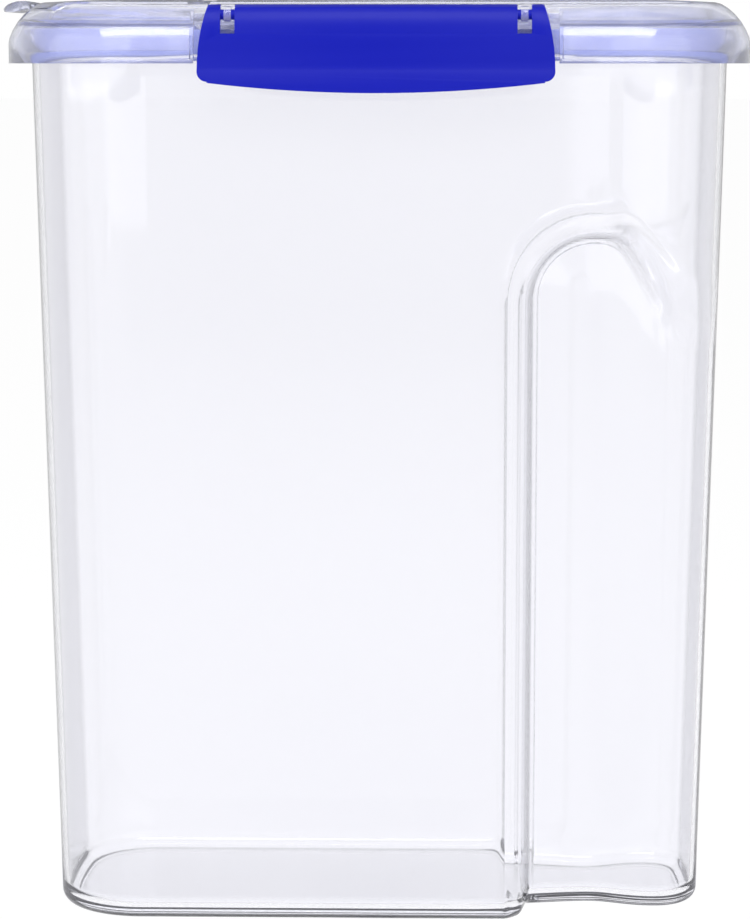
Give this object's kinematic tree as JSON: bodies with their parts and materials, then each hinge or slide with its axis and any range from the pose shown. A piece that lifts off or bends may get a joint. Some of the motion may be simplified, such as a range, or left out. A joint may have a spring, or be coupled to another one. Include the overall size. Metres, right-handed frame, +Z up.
{
  "type": "cereal container with flip spout",
  "caption": "Tall tapered clear food keeper with a moulded side grip, a domed lid with seal, hinged side clips and a flip-up pour cap.",
  "frame": {"origin": "centre of the container's flat base, on the surface it stands on", "axes": "+Z up, X along the long side with the grip at +X and the pour spout at -X, -Y towards the front clip"},
  "size_m": [0.2309, 0.1194, 0.2816],
  "materials": {
    "clear_body": "glossy clear moulded plastic",
    "clear_lid": "glossy clear moulded plastic",
    "blue_seal": "soft translucent silicone",
    "blue_clip": "satin moulded plastic"
  },
  "bodies": {
    "container": {"container_body": "clear_body"},
    "lid": {"lid": "clear_lid", "lid_seal": "blue_seal"},
    "front_clip": {"front_clip": "blue_clip"},
    "back_clip": {"back_clip": "blue_clip"},
    "flip_cap": {"flip_cap": "clear_lid", "flip_cap_seal": "blue_seal"}
  },
  "joints": [
    {"name": "lid_lift", "type": "slide", "parent": "container", "child": "lid", "axis": [0, 0, 1], "range_m": [0, 0.06]},
    {"name": "front_clip_hinge", "type": "hinge", "parent": "lid", "child": "front_clip", "pos_m": [0, -0.05365, 0.2768], "axis": [-1, 0, 0], "range_deg": [0, 110]},
    {"name": "back_clip_hinge", "type": "hinge", "parent": "lid", "child": "back_clip", "pos_m": [0, 0.05365, 0.2768], "axis": [1, 0, 0], "range_deg": [0, 110]},
    {"name": "flip_cap_hinge", "type": "hinge", "parent": "lid", "child": "flip_cap", "pos_m": [-0.053, 0, 0.27915], "axis": [0, 1, 0], "range_deg": [0, 110]}
  ]
}
